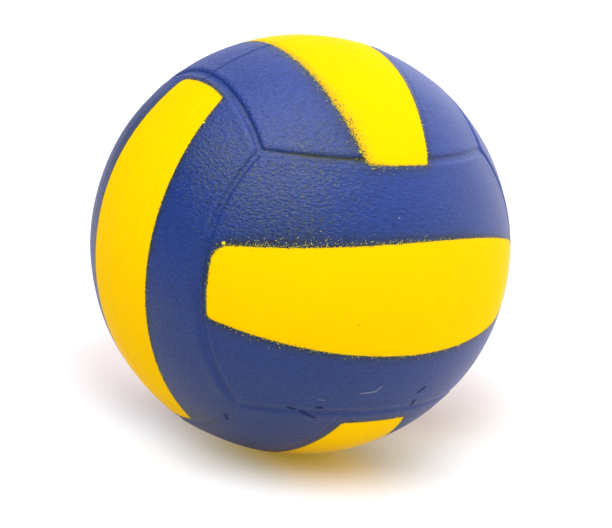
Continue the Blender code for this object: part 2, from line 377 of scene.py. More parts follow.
# Stripes
# Yellow paint, sprayed through a mask over each group's middle strip once the ball is out of the mould.
# Where the mask sits loosely, paint drifts under it as specks and mist, or thins out before the edge.
CRISP = 0.0003
# Each stripe, in distances: lower and upper are its long edges from the strip's middle line, at even steps
# from start to end. start and end are how far short of the groove it stops, at the lower and upper edge,
# corners its radii there. A drift is how far paint strays past a loose edge, thin how far it thins inside.
STRIPES = {
    "front": dict(
        lower=(-0.0274, -0.0288, -0.0297, -0.0302), upper=(0.0296, 0.0249, 0.0271, 0.0242),
        start=(0.0034, 0.0039), end=(0.0042, 0.0042), corners=(0.0025, 0.0070, 0.0030, 0.0030),
        lower_drift=(0.0006, 0.0005, 0.0003), upper_drift=(0.0010, 0.0013, 0.0004, 0.0003),
        start_drift=0.0005,
    ),
    "back": dict(
        lower=(-0.0288, -0.0286, -0.0280), upper=(0.0282, 0.0276, 0.0284),
        start=(0.0040, 0.0040), end=(0.0046, 0.0038), corners=(0.0030, 0.0030, 0.0050, 0.0030),
        lower_drift=(0.0003, 0.0009),
    ),
    "left": dict(
        lower=(-0.0344, -0.0333, -0.0423), upper=(0.0205, 0.0191, 0.0222),
        start=(0.0040, 0.0045), end=(0.0044, 0.0066), corners=(0.0020, 0.0030, 0.0012, 0.0040),
        start_drift=0.0010,
    ),
    "right": dict(
        lower=(-0.0270, -0.0280, -0.0300), upper=(0.0290, 0.0284, 0.0280),
        start=(0.0044, 0.0040), end=(0.0040, 0.0046), corners=(0.0030, 0.0060, 0.0030, 0.0030),
        upper_drift=(0.0008, 0.0003),
    ),
    "top": dict(
        lower=(-0.0306, -0.0292, -0.0290, -0.0294, -0.0305), upper=(0.0264, 0.0248, 0.0245, 0.0250, 0.0262),
        start=(-0.0023, -0.0023), end=(0.0040, 0.0044), corners=(0.0030, 0.0015, 0.0030, 0.0030),
        lower_drift=(0.0010, 0.0006, 0.0003), start_drift=0.0008, thin=(0.0032, 0.0014, 0.0006),
    ),
    "bottom": dict(
        lower=(-0.0195, -0.0266, -0.0275), upper=(0.0352, 0.0275, 0.0278),
        start=(0.0087, 0.0086), end=(0.0044, 0.0044), corners=(0.0010, 0.0010, 0.0030, 0.0030),
    ),
}


def through(values, share):
    """The polynomial through values at even steps from share -1 to share 1."""
    return np.polyval(np.polyfit(np.linspace(-1, 1, len(values)), values, len(values) - 1), share)


def stripe_fields(way):
    """Distance into the nearest stripe, negative outside it, and how far its paint drifts and thins out.

    A stripe is a box with round corners: the angle across its group sets its long edges, and its ends keep
    a distance from the groove. Drift and thinning are those of its edges, the nearest counting most.
    """
    near_edge = 0.004
    no_edge_near = 1e-12
    past_end = 1.1
    far_outside = -1.0
    crisp = (CRISP, CRISP)
    inside = np.full(way.shape[:-1], far_outside)
    drift = np.full(way.shape[:-1], CRISP)
    thin = np.full(way.shape[:-1], CRISP)
    for group, (facing, along, across, _) in GROUPS.items():
        stripe = STRIPES[group]
        outward = way @ facing
        angle = np.arctan2(way @ across, outward)
        tilt = np.arcsin(np.clip(way @ along, -1, 1))
        share = np.clip(tilt / (np.pi / 2 - GROUP_ANGLE), -past_end, past_end)
        side = np.clip(angle / HALF_STRIP, -1, 1)
        width = BALL_RADIUS * np.cos(tilt)
        to_groove = (np.arcsin(np.clip(outward, -1, 1)) - GROUP_ANGLE) * BALL_RADIUS
        to_far_end = 2 * BALL_RADIUS
        edges = np.stack(
            [
                (angle - through(stripe["lower"], share) / BALL_RADIUS) * width,
                (through(stripe["upper"], share) / BALL_RADIUS - angle) * width,
                np.where(share < 0, to_groove - through(stripe["start"], side), to_far_end),
                np.where(share > 0, to_groove - through(stripe["end"], side), to_far_end),
            ]
        )
        is_upper = edges[1] < edges[0]
        corners = stripe["corners"]
        at_start = np.where(is_upper, corners[1], corners[0])
        at_end = np.where(is_upper, corners[3], corners[2])
        corner = np.where(share < 0, at_start, at_end)
        cut = np.stack([corner - edges[:2].min(0), corner - edges[2:].min(0)])
        distance = corner - np.hypot(*np.maximum(cut, 0)) - np.minimum(cut.max(0), 0)
        weight = np.exp(-np.abs(edges) / near_edge) + no_edge_near
        weight /= weight.sum(0)
        lower_drift = through(stripe.get("lower_drift", crisp), share)
        upper_drift = through(stripe.get("upper_drift", crisp), share)
        own_drift = lower_drift * weight[0] + upper_drift * weight[1]
        own_drift += stripe.get("start_drift", CRISP) * weight[2] + CRISP * weight[3]
        own_thin = CRISP + (through(stripe.get("thin", crisp), share) - CRISP) * weight[0]
        nearer = distance > inside
        inside = np.where(nearer, distance, inside)
        drift = np.where(nearer, own_drift, drift)
        thin = np.where(nearer, own_thin, thin)
    return inside, drift, thin


# Puffs of paint that drifted on to the blue: the direction of each, its radius, and how dense it lies on
# the open skin and in the channels
PUFFS = (
    ((-0.617, -0.718, 0.324), 0.024, 0.50, 0.0),
    ((-0.678, -0.551, 0.487), 0.020, 0.35, 0.0),
    ((-0.745, -0.380, 0.548), 0.015, 0.65, 0.0),
    ((-0.467, -0.841, 0.274), 0.009, 0.40, 0.0),
    ((-0.420, -0.800, 0.430), 0.024, 0.35, 0.0),
    ((-0.460, -0.670, 0.580), 0.016, 0.15, 0.35),
    ((-0.370, -0.725, 0.582), 0.014, 0.10, 0.70),
    ((-0.261, -0.770, 0.582), 0.014, 0.25, 0.80),
    ((-0.650, -0.330, 0.680), 0.014, 0.00, 0.60),
    ((-0.300, -0.665, 0.685), 0.018, 0.35, 0.0),
    ((-0.615, -0.290, -0.733), 0.013, 0.90, 0.5),
    ((0.180, -0.800, 0.580), 0.030, 0.00, 0.35),
    ((-0.911, -0.355, -0.211), 0.012, 0.40, 0.0),
    ((-0.746, 0.230, 0.632), 0.016, 1.00, 0.0),
    ((-0.883, 0.230, 0.423), 0.016, 1.00, 0.0),
    ((-0.976, 0.210, 0.095), 0.016, 0.90, 0.0),
    ((0.620, 0.540, 0.570), 0.028, 0.60, 0.3),
    ((-0.450, 0.800, -0.390), 0.024, 0.50, 0.3),
    ((0.760, -0.330, -0.560), 0.022, 0.45, 0.0),
    ((0.300, 0.780, -0.550), 0.020, 0.40, 0.3),
)


def overspray(way):
    """Density of drifted paint in each direction, on the skin and in the channels.

    Both are sums over the puffs, each a bell curve over the distance from its middle.
    """
    centres = np.array([puff[0] for puff in PUFFS])
    centres /= np.linalg.norm(centres, axis=1, keepdims=True)
    radius, on_skin, in_channel = np.array([puff[1:] for puff in PUFFS]).T
    distance = BALL_RADIUS * np.arccos(np.clip(way @ centres.T, -1, 1))
    bell = np.exp(-((distance / radius) ** 2))
    return np.clip(bell @ on_skin, 0, 1), np.clip(bell @ in_channel, 0, 1)


# Small marks on the cover, each a short line between two directions with half its width: nicks, dark with
# dirt and painted shade, the first along the channel low on the left, pale scratches and rubbed spots, and a
# blob of paint
NICKS_AND_PAINTED_SHADE = (
    ((-0.5765, -0.4700, -0.6684), (-0.5612, -0.4631, -0.6860), 0.0010),
    ((-0.2861, -0.7844, -0.5502), (-0.2694, -0.7910, -0.5493), 0.0011),
    ((-0.3999, -0.7244, -0.5615), (-0.3726, -0.7321, -0.5703), 0.0010),
    ((-0.3445, -0.7385, -0.5796), (-0.2677, -0.7449, -0.6112), 0.0008),
    ((0.6164, -0.6510, -0.4430), (0.6434, -0.6333, -0.4301), 0.0009),
    ((0.2031, -0.8493, -0.4873), (0.2240, -0.8549, -0.4679), 0.0011),
    ((0.2069, -0.7983, -0.5656), (0.2033, -0.8164, -0.5405), 0.0012),
    ((0.2500, 0.8700, 0.4250), (0.2750, 0.8640, 0.4220), 0.0005),
    ((0.7900, 0.5900, -0.1680), (0.7960, 0.5780, -0.1800), 0.0005),
)
SCRATCHES = (
    ((-0.1211, -0.8758, -0.4672), (-0.0507, -0.8870, -0.4590), 0.0003),
    ((-0.0507, -0.8870, -0.4590), (-0.0310, -0.9011, -0.4326), 0.0003),
    ((0.2151, -0.8078, -0.5488), (0.2250, -0.7980, -0.5590), 0.0004),
    ((-0.0581, -0.9354, 0.3489), (-0.0541, -0.9357, 0.3489), 0.0003),
    ((-0.3003, -0.8099, -0.5039), (-0.2688, -0.8183, -0.5080), 0.00015),
    ((-0.6200, 0.6500, 0.4400), (-0.5900, 0.6650, 0.4580), 0.0003),
)
BLOBS = (((-0.7503, -0.6353, 0.1831), (-0.7472, -0.6387, 0.1838), 0.0008),)


def on_lines(tree, place, lines):
    """Share from 0 to 1 of lying on one of the lines, by the distance to the nearest place on it.

    The distance is taken on the full sphere, straight above or below the place.
    """
    core, fringe = 0.5, 1.4
    share = 0.0
    way = add_node(tree, "VectorMath", {"operation": "NORMALIZE"}, {0: place})
    on_sphere = add_node(tree, "VectorMath", {"operation": "SCALE"}, {0: way, "Scale": BALL_RADIUS})
    for start, end, half_width in lines:
        first = BALL_RADIUS * np.array(start)
        run = BALL_RADIUS * np.array(end) - first
        from_first = add_node(tree, "VectorMath", {"operation": "SUBTRACT"}, {0: on_sphere, 1: tuple(first)})
        along_run = add_node(
            tree, "VectorMath", {"operation": "DOT_PRODUCT"}, {0: from_first, 1: tuple(run / (run @ run))}
        )
        along_run = add_node(tree, "Math", {"operation": "ADD", "use_clamp": True}, {0: along_run, 1: 0.0})
        nearest = add_node(tree, "VectorMath", {"operation": "SCALE"}, {0: tuple(run), "Scale": along_run})
        distance = add_node(tree, "VectorMath", {"operation": "DISTANCE"}, {0: from_first, 1: nearest})
        fade = {"From Min": core * half_width, "From Max": fringe * half_width, "To Min": 1, "To Max": 0}
        on_line = add_node(tree, "MapRange", inputs={"Value": distance, **fade})
        share = add_node(tree, "Math", {"operation": "MAXIMUM"}, {0: share, 1: on_line})
    return share


PAINT_FIELDS = ("stripe_inside", "paint_drift", "paint_thin", "overspray", "channel_dirt")


def sprayed_cover():
    """Moulded plastic skin, dyed blue, with sprayed yellow stripes.

    The skin has a fine leather grain and a dull shine. The paint is a thin, opaque, matte coat that fills
    the grain and looks a little hazy edge on. Where it thins out it has pores, past its edges it breaks up
    into specks, and a mist too thin to hide the blue turns it dark olive. Puffs of it leave dull flecks.
    """
    material, tree, place = new_material("sprayed_plastic_skin")
    axes = add_node(tree, "SeparateXYZ", inputs={0: place}).node.outputs
    inside, drift, thin, puffs, dirt = (
        add_node(tree, "Attribute", {"attribute_name": field}).node.outputs["Fac"] for field in PAINT_FIELDS
    )

    # Grain: pebbles with wrinkles over them, shallower to the right and below, and soft clouds in the dye
    grain = 0.0012
    grain_stretch = (0.42, 0.8, 1.15)
    pebble_rise = -0.5
    even_grain = 0.6
    mottle = 0.009
    stretched = add_node(tree, "Mapping", inputs={"Vector": place, "Scale": grain_stretch})
    wrinkles = add_node(
        tree, "TexNoise", inputs={"Vector": stretched, "Scale": 1 / grain, "Detail": 3, "Roughness": 0.6}
    )
    pebbles = add_node(
        tree, "TexVoronoi", {"feature": "SMOOTH_F1"},
        {"Vector": stretched, "Scale": 1 / grain, "Smoothness": 0.4},
    )
    height = add_node(tree, "Math", {"operation": "MULTIPLY_ADD"}, {0: pebbles, 1: pebble_rise, 2: wrinkles})
    raised = add_node(tree, "MapRange", inputs={"Value": height, "From Min": 0.05, "From Max": 0.45})
    depth_aside = add_node(
        tree, "MapRange",
        inputs={"Value": axes["X"], "From Min": -0.01, "From Max": 0.05, "To Min": 0.95, "To Max": 0.28},
    )
    depth_below = add_node(
        tree, "MapRange", inputs={"Value": axes["Z"], "From Min": -0.04, "From Max": 0.03, "To Min": 0.65}
    )
    depth = add_node(tree, "Math", {"operation": "MULTIPLY"}, {0: depth_aside, 1: depth_below})
    raised = add_node(tree, "Mix", inputs={0: depth, 2: even_grain, 3: raised})
    clouds = add_node(
        tree, "TexNoise", inputs={"Vector": place, "Scale": 1 / mottle, "Detail": 5, "Roughness": 0.65}
    )

    # Shares of paint that strays past an edge, is missing inside a thin one, and lies round one as mist
    mist_stretch = 1.6
    mist_least = 0.001
    outside = add_node(tree, "Math", {"operation": "MINIMUM"}, {0: inside, 1: 0.0})
    within = add_node(tree, "Math", {"operation": "SUBTRACT"}, {0: outside, 1: inside})
    reach = add_node(tree, "Math", {"operation": "MULTIPLY_ADD"}, {0: drift, 1: mist_stretch, 2: mist_least})
    shares = []
    for distance, fade in ((outside, drift), (within, thin), (outside, reach)):
        fades = add_node(tree, "Math", {"operation": "DIVIDE"}, {0: distance, 1: fade})
        shares.append(add_node(tree, "Math", {"operation": "EXPONENT"}, {0: fades}))
    stray_share, thin_share, mist_share = shares

    # Paint: whole inside but for pores where it is thin, specks and drops past loose edges, and blobs
    fine_speck = 0.0004
    drop = 0.0014
    most_specks = 0.36
    most_drops = 0.006
    most_pores = 0.45
    pore_fall = 1.3
    specks = add_node(tree, "TexVoronoi", inputs={"Vector": place, "Scale": 1 / fine_speck})
    drops = add_node(tree, "TexVoronoi", inputs={"Vector": place, "Scale": 1 / drop})
    random, drop_random = (
        add_node(tree, "SeparateColor", inputs={"Color": cells.node.outputs["Color"]}).node.outputs
        for cells in (specks, drops)
    )
    spots = ((specks, random["Red"], most_specks), (drops, drop_random["Red"], most_drops))
    waver = add_node(tree, "MapRange", inputs={"Value": random["Blue"], "To Min": -0.0002, "To Max": 0.0002})
    edge = add_node(tree, "Math", {"operation": "ADD"}, {0: inside, 1: waver})
    whole = add_node(
        tree, "MapRange", {"interpolation_type": "SMOOTHSTEP"},
        {"Value": edge, "From Min": -0.00012, "From Max": 0.00012},
    )
    pore_share = add_node(tree, "Math", {"operation": "POWER"}, {0: thin_share, 1: pore_fall})
    pore_share = add_node(tree, "Math", {"operation": "MULTIPLY"}, {0: pore_share, 1: most_pores})
    pore = add_node(tree, "Math", {"operation": "LESS_THAN"}, {0: random["Green"], 1: pore_share})
    paint = add_node(tree, "Math", {"operation": "SUBTRACT", "use_clamp": True}, {0: whole, 1: pore})
    for cells, chance, most in spots:
        wanted = add_node(tree, "Math", {"operation": "MULTIPLY"}, {0: stray_share, 1: most})
        hit = add_node(tree, "Math", {"operation": "LESS_THAN"}, {0: chance, 1: wanted})
        dot = add_node(
            tree, "MapRange",
            inputs={"Value": cells, "From Min": 0.4, "From Max": 0.55, "To Min": 1, "To Max": 0},
        )
        spot = add_node(tree, "Math", {"operation": "MULTIPLY"}, {0: hit, 1: dot})
        paint = add_node(tree, "Math", {"operation": "MAXIMUM"}, {0: paint, 1: spot})
    blobs = on_lines(tree, place, BLOBS)
    paint = add_node(tree, "Math", {"operation": "MAXIMUM"}, {0: paint, 1: blobs})

    # Mist: thick next to the edge, further out where the edge is loose, and thin under the puffs
    most_dark_specks = 0.4
    puff_mist = 0.22
    dark_share = add_node(tree, "Math", {"operation": "MULTIPLY"}, {0: mist_share, 1: most_dark_specks})
    dark_speck = add_node(tree, "Math", {"operation": "LESS_THAN"}, {0: random["Green"], 1: dark_share})
    mist_share = add_node(
        tree, "Math", {"operation": "MULTIPLY_ADD"}, {0: puffs, 1: puff_mist, 2: mist_share}
    )
    mist_share = add_node(tree, "Math", {"operation": "ADD"}, {0: mist_share, 1: dirt})
    patchy = add_node(tree, "MapRange", inputs={"Value": random["Blue"], "To Min": 0.6, "To Max": 1.2})
    mist = add_node(tree, "Math", {"operation": "MULTIPLY", "use_clamp": True}, {0: mist_share, 1: patchy})

    # Blue: the dye, with painted shade in the hollows of the grain, under flecks, mist, dark specks and
    # scratches
    most_flecks = 0.28
    dye = add_node(tree, "Mix", COLOURS, {0: clouds, 6: "#113284", 7: "#193A8C"})
    painted_shade_hollow = add_node(tree, "Mix", COLOURS, {0: clouds, 6: "#09266B", 7: "#112C72"})
    blue = add_node(tree, "Mix", COLOURS, {0: raised, 6: painted_shade_hollow, 7: dye})
    dusty = add_node(tree, "Math", {"operation": "MULTIPLY"}, {0: puffs, 1: most_flecks})
    flecks = add_node(tree, "Math", {"operation": "LESS_THAN"}, {0: random["Green"], 1: dusty})
    scratched = on_lines(tree, place, SCRATCHES)
    layers = ((flecks, "#434F55"), (mist, "#252D0C"), (dark_speck, "#10140C"), (scratched, "#74789F"))
    for share, colour in layers:
        blue = add_node(tree, "Mix", COLOURS, {0: share, 6: blue, 7: colour})

    # Dull places that mirror nothing: dirt and painted shade in the nicks, and a line of painted shade along
    # the parting ridge
    from_parting = add_node(tree, "Math", {"operation": "SUBTRACT"}, {0: axes["Y"], 1: PARTING_PLANE})
    from_parting = add_node(tree, "Math", {"operation": "ABSOLUTE"}, {0: from_parting})
    parting_ridge_shade = add_node(
        tree, "MapRange",
        inputs={"Value": from_parting, "From Min": 0.0005, "From Max": 0.0010, "To Min": 0.95, "To Max": 0},
    )
    nick_dirt_and_shade = on_lines(tree, place, NICKS_AND_PAINTED_SHADE)
    dull = add_node(tree, "Math", {"operation": "MAXIMUM"}, {0: nick_dirt_and_shade, 1: parting_ridge_shade})
    dull_and_shade_colour = add_node(tree, "Mix", COLOURS, {0: nick_dirt_and_shade, 6: "#2C3A6E", 7: "#242B60"})

    # Yellow: cloudy, duller where the coat is thin, fresher in specks, with faint painted shade along the
    # parting ridge, and pits
    faint = 0.15
    pit_spacing = 0.014
    yellow = add_node(tree, "Mix", COLOURS, {0: clouds, 6: "#F5C100", 7: "#F7CA00"})
    thin_coat = add_node(tree, "Math", {"operation": "MULTIPLY"}, {0: thin_share, 1: whole})
    yellow = add_node(tree, "Mix", COLOURS, {0: thin_coat, 6: yellow, 7: "#B29527"})
    yellow = add_node(tree, "Mix", COLOURS, {0: whole, 6: "#E4DC00", 7: yellow})
    faint_parting_ridge_shade = add_node(tree, "Math", {"operation": "MULTIPLY"}, {0: parting_ridge_shade, 1: faint})
    yellow = add_node(tree, "Mix", COLOURS, {0: faint_parting_ridge_shade, 6: yellow, 7: "#C49A08"})
    from_pit = add_node(tree, "TexVoronoi", inputs={"Vector": place, "Scale": 1 / pit_spacing})
    pit = add_node(
        tree, "MapRange", {"interpolation_type": "SMOOTHSTEP"},
        {"Value": from_pit, "From Min": 0.015, "From Max": 0.04, "To Min": 1, "To Max": 0},
    )
    yellow = add_node(tree, "Mix", COLOURS, {0: pit, 6: yellow, 7: "#8C7410"})

    # Two shaders: the grained skin, and the matte coat that the paint and the dull places share
    grain_depth = 0.0004
    filled_depth = 0.00006
    matte_colour = add_node(tree, "Mix", COLOURS, {0: paint, 6: dull_and_shade_colour, 7: yellow})
    matte = add_node(tree, "Math", {"operation": "MAXIMUM"}, {0: paint, 1: dull})
    grained = add_node(tree, "Bump", inputs={"Height": height, "Distance": grain_depth, "Strength": depth})
    filled = add_node(tree, "Bump", inputs={"Height": height, "Distance": filled_depth})
    skin_rough = add_node(tree, "MapRange", inputs={"Value": raised, "To Min": 0.47, "To Max": 0.38})
    paint_rough = add_node(tree, "MapRange", inputs={"Value": clouds, "To Min": 0.6, "To Max": 0.75})
    skin = add_node(
        tree, "BsdfPrincipled",
        inputs={
            "Base Color": blue, "Normal": grained, "Roughness": skin_rough, "IOR": 1.5,
            "Specular IOR Level": 0.29,
        },
    )
    coat = add_node(
        tree, "BsdfPrincipled",
        inputs={
            "Base Color": matte_colour, "Normal": filled, "Roughness": paint_rough,
            "Specular IOR Level": 0.015, "Sheen Weight": 0.32, "Sheen Roughness": 0.18,
        },
    )
    cover = add_node(tree, "MixShader", inputs={0: matte, 1: skin, 2: coat})
    add_node(tree, "OutputMaterial", inputs={"Surface": cover})
    return material


SPRAYED_COVER = sprayed_cover()
# Grid lines about the middle of a panel: only the middle itself, or fine ones round the parting ridge
PLAIN_MIDDLE = np.zeros(1)
RIDGE_LINES = np.array([0, 1.2, 1.8, 2.2, 2.5, 2.75, 2.9, 3.0, 3.1, 3.25, 3.5, 3.8, 4.2, 5.0]) / 1000
# Paint fills the channels that it crosses. Low on the ball, in shares of its radius, they are worn shallow
PAINT_FILL = 0.9
PAINT_EDGE = 0.002
WORN_FILL = 0.45
WORN_LEVEL = 0.5
WORN_FADE = 0.06
# How dark drifted paint lies in the channels round the top group, and round the others
TOP_DIRT = 0.9
OTHER_DIRT = 0.25
# The hole for the valve, with fine rings round it and a lip that is drawn in
VALVE_HOLE = 0.0050
HOLE_STEPS = 8
HOLE_REACH = 0.012
LIP_REACH = 0.0012
LIP_DROP = 0.0006
RING_REACH = 0.004
RING_GROWTH = 1.5
RING_LINES = VALVE_HOLE + RING_REACH * np.linspace(0, 1, HOLE_STEPS + 1)[1:] ** RING_GROWTH
HOLE_LINES = np.concatenate([np.linspace(0, VALVE_HOLE, HOLE_STEPS + 1), RING_LINES])
END_TO_END = 2 * (np.pi / 2 - GROUP_ANGLE) * BALL_RADIUS

# Each cover: its grid, its outer and inner face, and the fields of its paint
for group, (facing, along, across, strips) in GROUPS.items():
    for side, strip in zip((-1, 0, 1), strips):
        has_valve = group == "back" and side == 0
        middle_along = RIDGE_LINES if group in ("top", "bottom") else PLAIN_MIDDLE
        middle_across = RIDGE_LINES if group in ("left", "right") and side == 0 else PLAIN_MIDDLE
        if has_valve:
            middle_along = middle_across = HOLE_LINES
        lines_along = grid_lines(END_TO_END, middle_along)
        lines_across = grid_lines(STRIP_WIDTH, middle_across)
        angle, tilt = strip_angles(side, lines_along[:, None], lines_across[None, :])
        hole = None
        if has_valve:
            tilt, angle = round_off(tilt, angle, VALVE_HOLE / BALL_RADIUS, HOLE_REACH / BALL_RADIUS)
            centre = (len(lines_along) // 2, len(lines_across) // 2)
            hole = tuple(slice(middle - HOLE_STEPS, middle + HOLE_STEPS + 1) for middle in centre)
        level = np.cos(angle)[..., None] * facing + np.sin(angle)[..., None] * across
        way = np.cos(tilt)[..., None] * level + np.sin(tilt)[..., None] * along
        painted = PAINT_FILL * np.clip(0.5 + stripe_fields(way)[0] / PAINT_EDGE, 0, 1)
        worn = WORN_FILL * np.clip((-way[..., 2] - WORN_LEVEL) / WORN_FADE, 0, 1)
        outer_radius = cover_radius(way, facing, across, np.maximum(painted, worn))[0]
        if has_valve:
            lip = np.clip(1 - (np.hypot(tilt, angle) * BALL_RADIUS - VALVE_HOLE) / LIP_REACH, 0, 1)
            outer_radius = outer_radius - LIP_DROP * lip**2
        outer = way * outer_radius[..., None]
        outer[..., 2] = np.maximum(outer[..., 2], REST_LEVEL)
        mesh = slab(f"{group}_{strip}_cover", outer, way * (BALL_RADIUS - COVER_THICKNESS), hole)
        places = np.empty(len(mesh.vertices) * 3, np.float32)
        mesh.vertices.foreach_get("co", places)
        places = places.reshape(-1, 3)
        ways = places / np.linalg.norm(places, axis=1, keepdims=True)
        dust, dirt = overspray(ways)
        darkest = TOP_DIRT if group == "top" else OTHER_DIRT
        dirt = dirt * cover_radius(ways, facing, across, 0)[1] * darkest
        for field, values in zip(PAINT_FIELDS, (*stripe_fields(ways), dust, dirt)):
            attribute = mesh.attributes.new(field, "FLOAT", "POINT")
            attribute.data.foreach_set("value", values.astype(np.float32))
        smooth_piece(mesh, SPRAYED_COVER, "ball", f"{group}_{strip}_panel")


# Valve housing
# A rubber bush moulded in one piece and bonded into the bladder: a neck up through the cover, a wide thin
# flange under the winding, and a barrel inside that grips the plug.
VALVE_FLANGE = 0.0012
VALVE_BARREL = 0.0041
VALVE_NECK = 0.0047
VALVE_SEAT = 0.0035
VALVE_BORE = 0.0025
NEEDLE_HOLE = 0.0006
PLUG_FIT = 0.0003
housing_low, housing_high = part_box("valve_housing")
plug_low, plug_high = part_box("valve_plug")
VALVE_FACE = housing_high.y
HEAD_HEIGHT = 0.0018
HEAD_RADIUS = plug_high.x
SHOULDER = VALVE_FACE - HEAD_HEIGHT
BARREL_LENGTH = 0.013
FLANGE_TOP = housing_low.y + BARREL_LENGTH + VALVE_FLANGE


def rounded(corners, radius, steps=6):
    """A closed outline with round corners.

    Each corner becomes a parabola between points a radius away from it, or less where a side is short.
    """
    most_of_side = 0.45
    corners = np.asarray(corners, float)
    before = np.roll(corners, 1, 0) - corners
    after = np.roll(corners, -1, 0) - corners
    length_before = np.linalg.norm(before, axis=1, keepdims=True)
    length_after = np.linalg.norm(after, axis=1, keepdims=True)
    start = corners + before * np.minimum(radius / length_before, most_of_side)
    end = corners + after * np.minimum(radius / length_after, most_of_side)
    share = np.linspace(0, 1, steps)[None, :, None]
    start, corners, end = start[:, None], corners[:, None], end[:, None]
    curve = (1 - share) ** 2 * start + 2 * share * (1 - share) * corners + share**2 * end
    return curve.reshape(-1, 2)


def turned(name, outline):
    """A closed piece turned about the Y axis from a closed outline of radius and Y.

    Each point of the outline becomes a ring of points, joined to the next ring by quads. A ring on the axis
    is one point, so that the quads there become triangles.
    """
    turns = 96
    on_axis = 1e-7
    turn = np.linspace(0, 2 * np.pi, turns, endpoint=False)
    radius, height = outline[:, :1], outline[:, 1:]
    points = np.stack([radius * np.cos(turn), height + 0 * turn, radius * np.sin(turn)], -1).reshape(-1, 3)
    index = np.arange(len(points)).reshape(-1, turns)
    index = np.where(radius < on_axis, index[:, :1], index)
    below = np.roll(index, -1, 0)
    faces = np.stack([index, np.roll(index, -1, 1), np.roll(below, -1, 1), below], -1).reshape(-1, 4)
    kept = np.ones(faces.shape, bool)
    kept[:, 1::2] = faces[:, 1::2] != faces[:, ::2]
    sides = kept.sum(1)
    real = sides > 2
    used, corners = np.unique(faces[real][kept[real]], return_inverse=True)
    mesh = bpy.data.meshes.new(name)
    mesh.from_pydata(points[used], [], np.split(corners, np.cumsum(sides[real])[:-1]))
    return mesh


def valve_rubber():
    """Black natural rubber from a fine steel mould: satin, with clouds of grey bloom and dusty pores."""
    bloom = 0.004
    pores = 0.0003
    pore_depth = pores / 8
    material, tree, place = new_material("moulded_valve_rubber")
    cloud = add_node(
        tree, "TexNoise", inputs={"Vector": place, "Scale": 1 / bloom, "Detail": 5, "Roughness": 0.7}
    )
    pore = add_node(tree, "TexNoise", inputs={"Vector": place, "Scale": 1 / pores, "Detail": 2})
    bloomed = add_node(tree, "Mix", COLOURS, {0: cloud, 6: "#121213", 7: "#2C2C2D"})
    dust = add_node(
        tree, "MapRange", inputs={"Value": pore, "From Min": 0.55, "From Max": 0.8, "To Max": 0.25}
    )
    colour = add_node(tree, "Mix", COLOURS, {0: dust, 6: bloomed, 7: "#5A5752"})
    roughness = add_node(tree, "MapRange", inputs={"Value": cloud, "To Min": 0.45, "To Max": 0.75})
    bump = add_node(tree, "Bump", inputs={"Height": pore, "Distance": pore_depth, "Strength": 0.6})
    shader = add_node(
        tree, "BsdfPrincipled",
        inputs={"Base Color": colour, "Normal": bump, "Roughness": roughness, "IOR": 1.52},
    )
    add_node(tree, "OutputMaterial", inputs={"Surface": shader})
    return material


VALVE_RUBBER = valve_rubber()
HOUSING_EDGE = 0.00035
flange_steps = np.linspace(0, 1, 7)
outer_flange = VALVE_NECK + (housing_high.x - VALVE_NECK) * flange_steps
inner_flange = VALVE_BARREL + (housing_high.x - VALVE_BARREL) * flange_steps[::-1]
housing_outline = np.concatenate(
    [
        [(VALVE_SEAT, VALVE_FACE), (VALVE_NECK, VALVE_FACE)],
        np.stack([outer_flange, np.sqrt(FLANGE_TOP**2 - outer_flange**2)], -1),
        np.stack([inner_flange, np.sqrt((FLANGE_TOP - VALVE_FLANGE) ** 2 - inner_flange**2)], -1),
        [
            (VALVE_BARREL, housing_low.y),
            (NEEDLE_HOLE, housing_low.y),
            (NEEDLE_HOLE, plug_low.y - PLUG_FIT),
            (VALVE_BORE, plug_low.y - PLUG_FIT),
            (VALVE_BORE, SHOULDER - PLUG_FIT),
            (VALVE_SEAT, SHOULDER - PLUG_FIT),
        ],
    ]
)
housing_mesh = turned("valve_housing_bush", rounded(housing_outline, HOUSING_EDGE))
smooth_piece(housing_mesh, VALVE_RUBBER, "ball", "valve_housing")


# Valve plug
# A rubber plug, moulded in one piece and pushed into the housing, flush with its face. A funnel in its head
# leads the pump's needle into a fine hole down the stem, which the rubber squeezes shut below.
STEM_RADIUS = 0.0022
HEAD_BEVEL = 0.0004
STEM_BEVEL = 0.0004
FUNNEL_RADIUS = 0.0012
FUNNEL_DEPTH = 0.0014
HOLE_DEPTH = 0.0045
PLUG_EDGE = 0.0002
plug_face = plug_high.y
plug_shoulder = plug_face - HEAD_HEIGHT
plug_outline = rounded(
    [
        (0, plug_face - HOLE_DEPTH),
        (NEEDLE_HOLE, plug_face - HOLE_DEPTH),
        (NEEDLE_HOLE, plug_face - FUNNEL_DEPTH),
        (FUNNEL_RADIUS, plug_face),
        (HEAD_RADIUS - HEAD_BEVEL, plug_face),
        (HEAD_RADIUS, plug_face - HEAD_BEVEL),
        (HEAD_RADIUS, plug_shoulder),
        (STEM_RADIUS, plug_shoulder),
        (STEM_RADIUS, plug_low.y + STEM_BEVEL),
        (STEM_RADIUS - STEM_BEVEL, plug_low.y),
        (0, plug_low.y),
    ],
    PLUG_EDGE,
)
at_axis = plug_outline[:, 0] < NEEDLE_HOLE / 4
in_hole = plug_outline[:, 1] > SHOULDER - HOLE_DEPTH
plug_outline[at_axis & in_hole] = (0, plug_face - HOLE_DEPTH)
plug_outline[at_axis & ~in_hole] = (0, plug_low.y)
plug_mesh = turned("valve_plug_stopper", plug_outline)
smooth_piece(plug_mesh, VALVE_RUBBER, "plug", "valve_plug")


